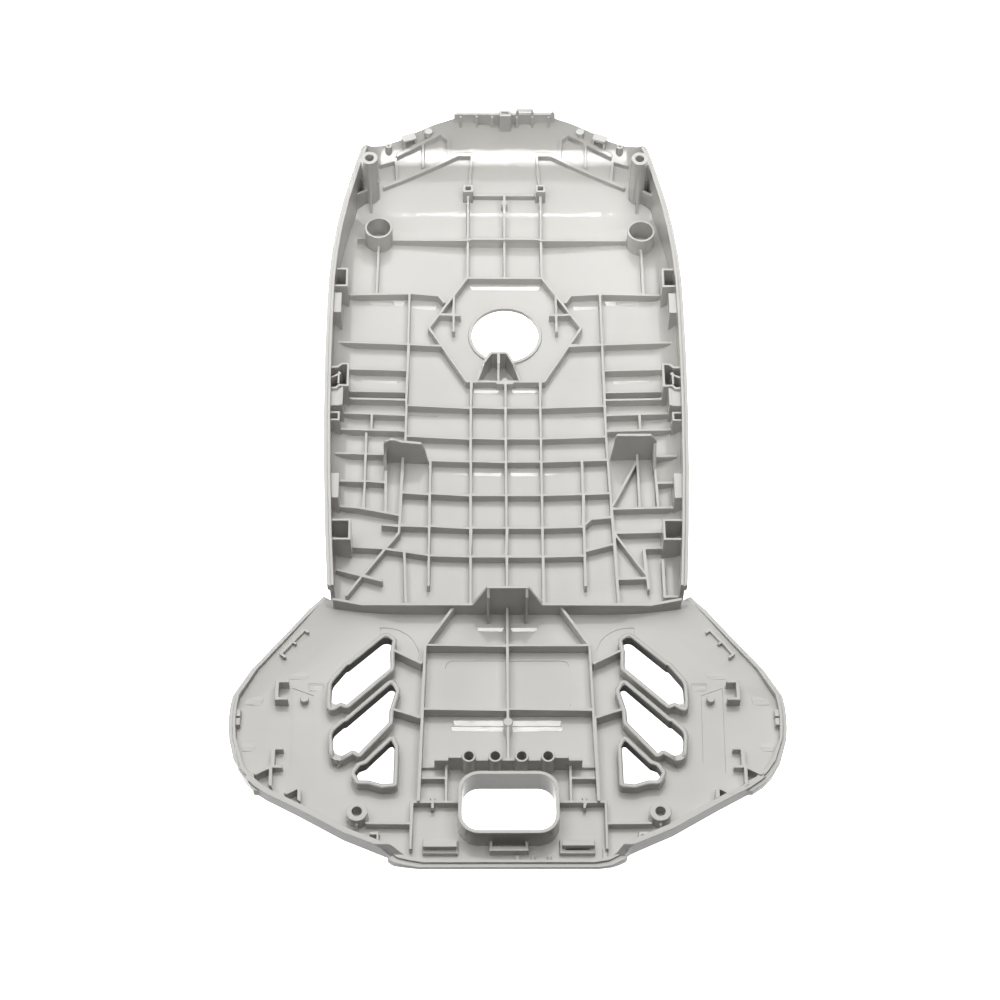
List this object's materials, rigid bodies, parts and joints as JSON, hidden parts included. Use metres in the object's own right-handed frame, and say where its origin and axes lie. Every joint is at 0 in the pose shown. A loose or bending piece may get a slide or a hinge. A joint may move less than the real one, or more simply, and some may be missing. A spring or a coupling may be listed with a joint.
{
  "type": "injection moulded rear housing",
  "caption": "Ribbed rear half of a moulded plastic housing with a curled neck, a round hole, a slot, slanted vents and screw bosses.",
  "frame": {"origin": "middle of the box round the part, on the surface that its outer back lies on", "axes": "+Y from the flared base to the curled neck, +Z out of the back towards the open ribbed side, +X across to the right"},
  "size_m": [0.2636, 0.4294, 0.0496],
  "materials": {
    "moulded_abs": "satin moulded, light warm grey"
  },
  "bodies": {
    "root": {"rear_housing": "moulded_abs"}
  },
  "joints": []
}
